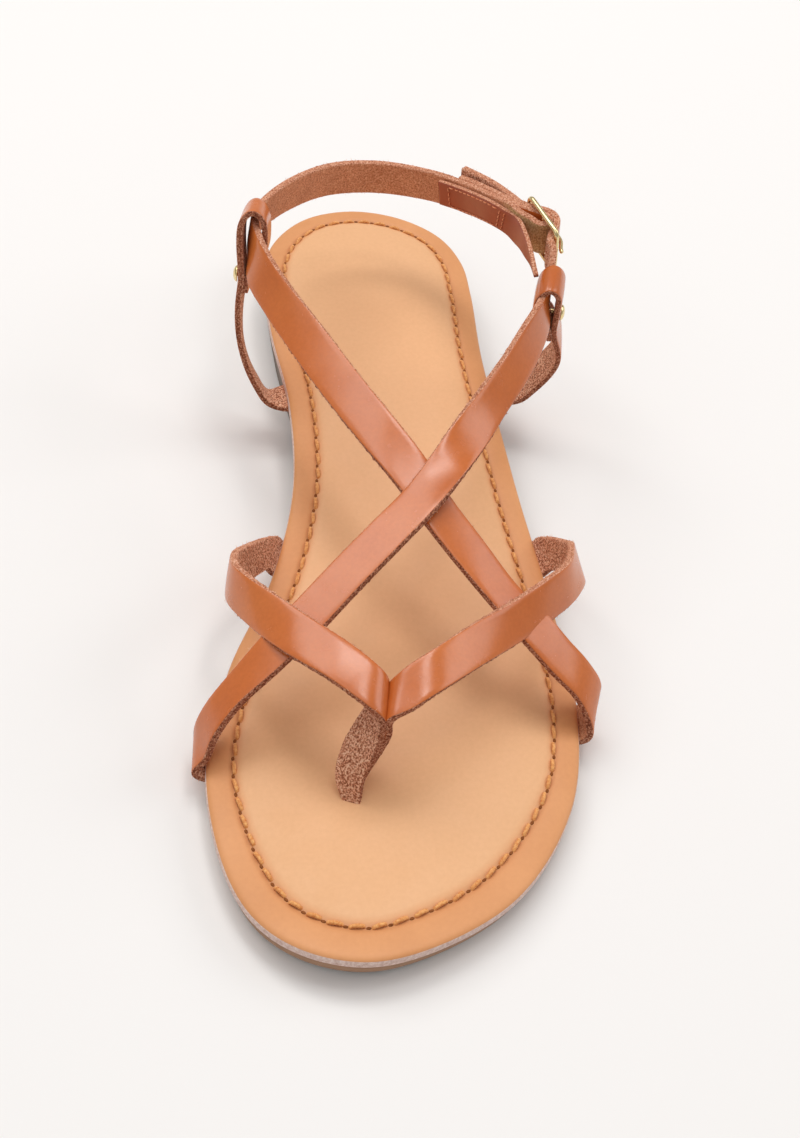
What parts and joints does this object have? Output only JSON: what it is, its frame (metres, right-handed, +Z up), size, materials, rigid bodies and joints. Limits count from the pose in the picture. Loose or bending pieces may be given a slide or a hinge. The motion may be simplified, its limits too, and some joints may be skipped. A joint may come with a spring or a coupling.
{
  "type": "gladiator sandal",
  "caption": "Left flat leather gladiator sandal with a toe post, crossed straps, side loops, a buckled ankle strap and a low heel.",
  "frame": {"origin": "bottom centre of the bounding box, on the floor under the sole", "axes": "+Z up, toe toward -Y and heel toward +Y, +X to the outer side of the left foot"},
  "size_m": [0.1008, 0.2476, 0.0645],
  "materials": {
    "insole": "smooth natural leather, matt",
    "outsole": "grey-brown sheet, matt",
    "heel_block": "stacked board, matt",
    "upper": "cognac smooth leather, satin",
    "inner_side_loop": "cognac smooth leather, satin",
    "outer_side_loop": "cognac smooth leather, satin",
    "inner_side_rivet": "pale gold, polished",
    "outer_side_rivet": "pale gold, polished",
    "buckle_frame": "pale gold, polished",
    "buckle_prong": "pale gold, polished",
    "buckle_guard": "dark tan smooth lining leather"
  },
  "bodies": {
    "root": {"insole": "insole", "outsole": "outsole", "heel_block": "heel_block", "upper": "upper", "inner_side_loop": "inner_side_loop", "outer_side_loop": "outer_side_loop", "inner_side_rivet": "inner_side_rivet", "outer_side_rivet": "outer_side_rivet", "buckle_frame": "buckle_frame", "buckle_prong": "buckle_prong", "buckle_guard": "buckle_guard"}
  },
  "joints": []
}
